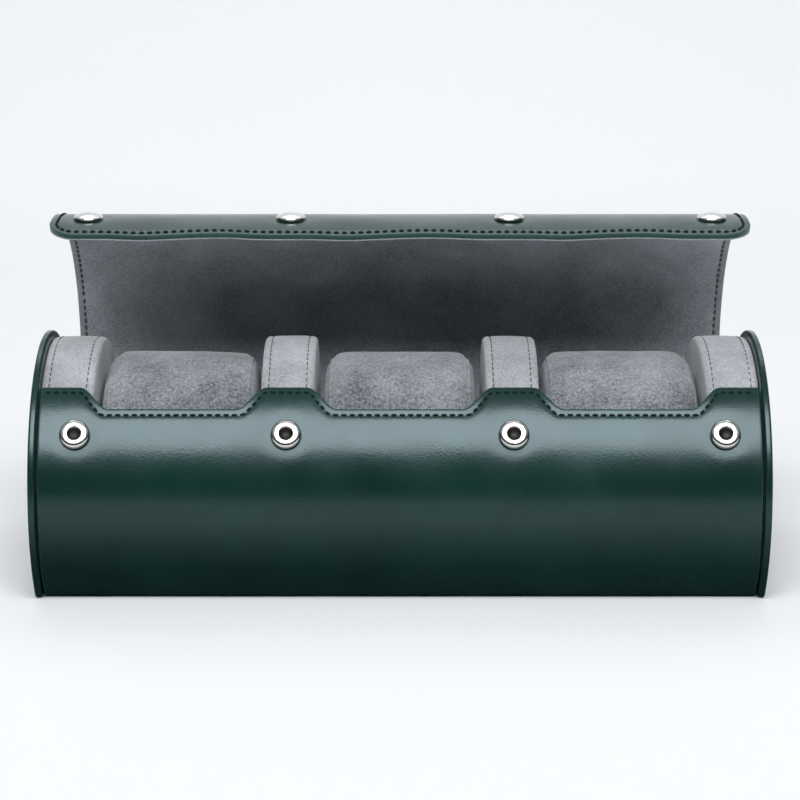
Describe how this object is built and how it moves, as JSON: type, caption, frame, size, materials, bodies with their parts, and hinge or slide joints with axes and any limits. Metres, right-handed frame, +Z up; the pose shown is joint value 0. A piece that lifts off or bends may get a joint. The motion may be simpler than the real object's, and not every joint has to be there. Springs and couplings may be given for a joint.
{
  "type": "watch travel case",
  "caption": "Round travel case with a flat base, padded dividers with lift-out pillows between them, and a long flexible flap that wraps over and snaps to the front.",
  "frame": {"origin": "on the floor, below the middle of the round end discs", "axes": "+X along the case to the right, -Y to the front with the snaps, +Z up"},
  "size_m": [0.24, 0.1258, 0.1193],
  "materials": {
    "green_leather": "smooth semi-gloss",
    "board": "plain greyboard",
    "suede": "short-napped microsuede",
    "flap_suede": "short-napped microsuede",
    "foam": "foam",
    "nickel": "bright nickel",
    "spring_steel": "drawn wire"
  },
  "bodies": {
    "case": {"left_end_leather": "green_leather", "left_end_board": "board", "right_end_leather": "green_leather", "right_end_board": "board", "case_leather": "green_leather", "case_board": "board", "left_slot_lining": "suede", "middle_slot_lining": "suede", "right_slot_lining": "suede", "left_end_divider_core": "foam", "left_end_divider_cover": "suede", "left_inner_divider_core": "foam", "left_inner_divider_cover": "suede", "right_inner_divider_core": "foam", "right_inner_divider_cover": "suede", "right_end_divider_core": "foam", "right_end_divider_cover": "suede", "snap_sockets": "nickel", "snap_spring_rings": "spring_steel", "snap_rivets": "nickel"},
    "flap_strip_1": {"flap_strip_1_leather": "green_leather", "flap_strip_1_board": "board", "flap_strip_1_lining": "flap_suede"},
    "flap_strip_2": {"flap_strip_2_leather": "green_leather", "flap_strip_2_board": "board", "flap_strip_2_lining": "flap_suede"},
    "flap_strip_3": {"flap_strip_3_leather": "green_leather", "flap_strip_3_board": "board", "flap_strip_3_lining": "flap_suede"},
    "flap_strip_4": {"flap_strip_4_leather": "green_leather", "flap_strip_4_board": "board", "flap_strip_4_lining": "flap_suede"},
    "flap_strip_5": {"flap_strip_5_leather": "green_leather", "flap_strip_5_board": "board", "flap_strip_5_lining": "flap_suede", "snap_caps": "nickel", "snap_studs": "nickel"},
    "left_pillow": {"left_pillow_core": "foam", "left_pillow_cover": "suede"},
    "middle_pillow": {"middle_pillow_core": "foam", "middle_pillow_cover": "suede"},
    "right_pillow": {"right_pillow_core": "foam", "right_pillow_cover": "suede"}
  },
  "joints": [
    {"name": "flap_fold", "type": "hinge", "parent": "case", "child": "flap_strip_1", "pos_m": [0, 0.04186, 0.0012], "axis": [-1, 0, 0], "range_deg": [-31.01, 27.5]},
    {"name": "flap_bend_1", "type": "hinge", "parent": "flap_strip_1", "child": "flap_strip_2", "pos_m": [0, 0.06725, 0.02611], "axis": [-1, 0, 0], "range_deg": [-6.1, 24]},
    {"name": "flap_bend_2", "type": "hinge", "parent": "flap_strip_2", "child": "flap_strip_3", "pos_m": [0, 0.07443, 0.06094], "axis": [-1, 0, 0], "range_deg": [-6.1, 24]},
    {"name": "flap_bend_3", "type": "hinge", "parent": "flap_strip_3", "child": "flap_strip_4", "pos_m": [0, 0.06096, 0.09386], "axis": [-1, 0, 0], "range_deg": [-6.1, 24]},
    {"name": "flap_bend_4", "type": "hinge", "parent": "flap_strip_4", "child": "flap_strip_5", "pos_m": [0, 0.03142, 0.11367], "axis": [-1, 0, 0], "range_deg": [-6.1, 24]},
    {"name": "left_pillow_lift", "type": "slide", "parent": "case", "child": "left_pillow", "axis": [0, 0.5, 0.866], "range_m": [0, 0.042]},
    {"name": "middle_pillow_lift", "type": "slide", "parent": "case", "child": "middle_pillow", "axis": [0, 0.5, 0.866], "range_m": [0, 0.042]},
    {"name": "right_pillow_lift", "type": "slide", "parent": "case", "child": "right_pillow", "axis": [0, 0.5, 0.866], "range_m": [0, 0.042]}
  ],
  "couplings": [
    {"joint": "flap_bend_2", "follows": "flap_bend_1", "ratio": 1},
    {"joint": "flap_bend_3", "follows": "flap_bend_1", "ratio": 1},
    {"joint": "flap_bend_4", "follows": "flap_bend_1", "ratio": 1}
  ]
}
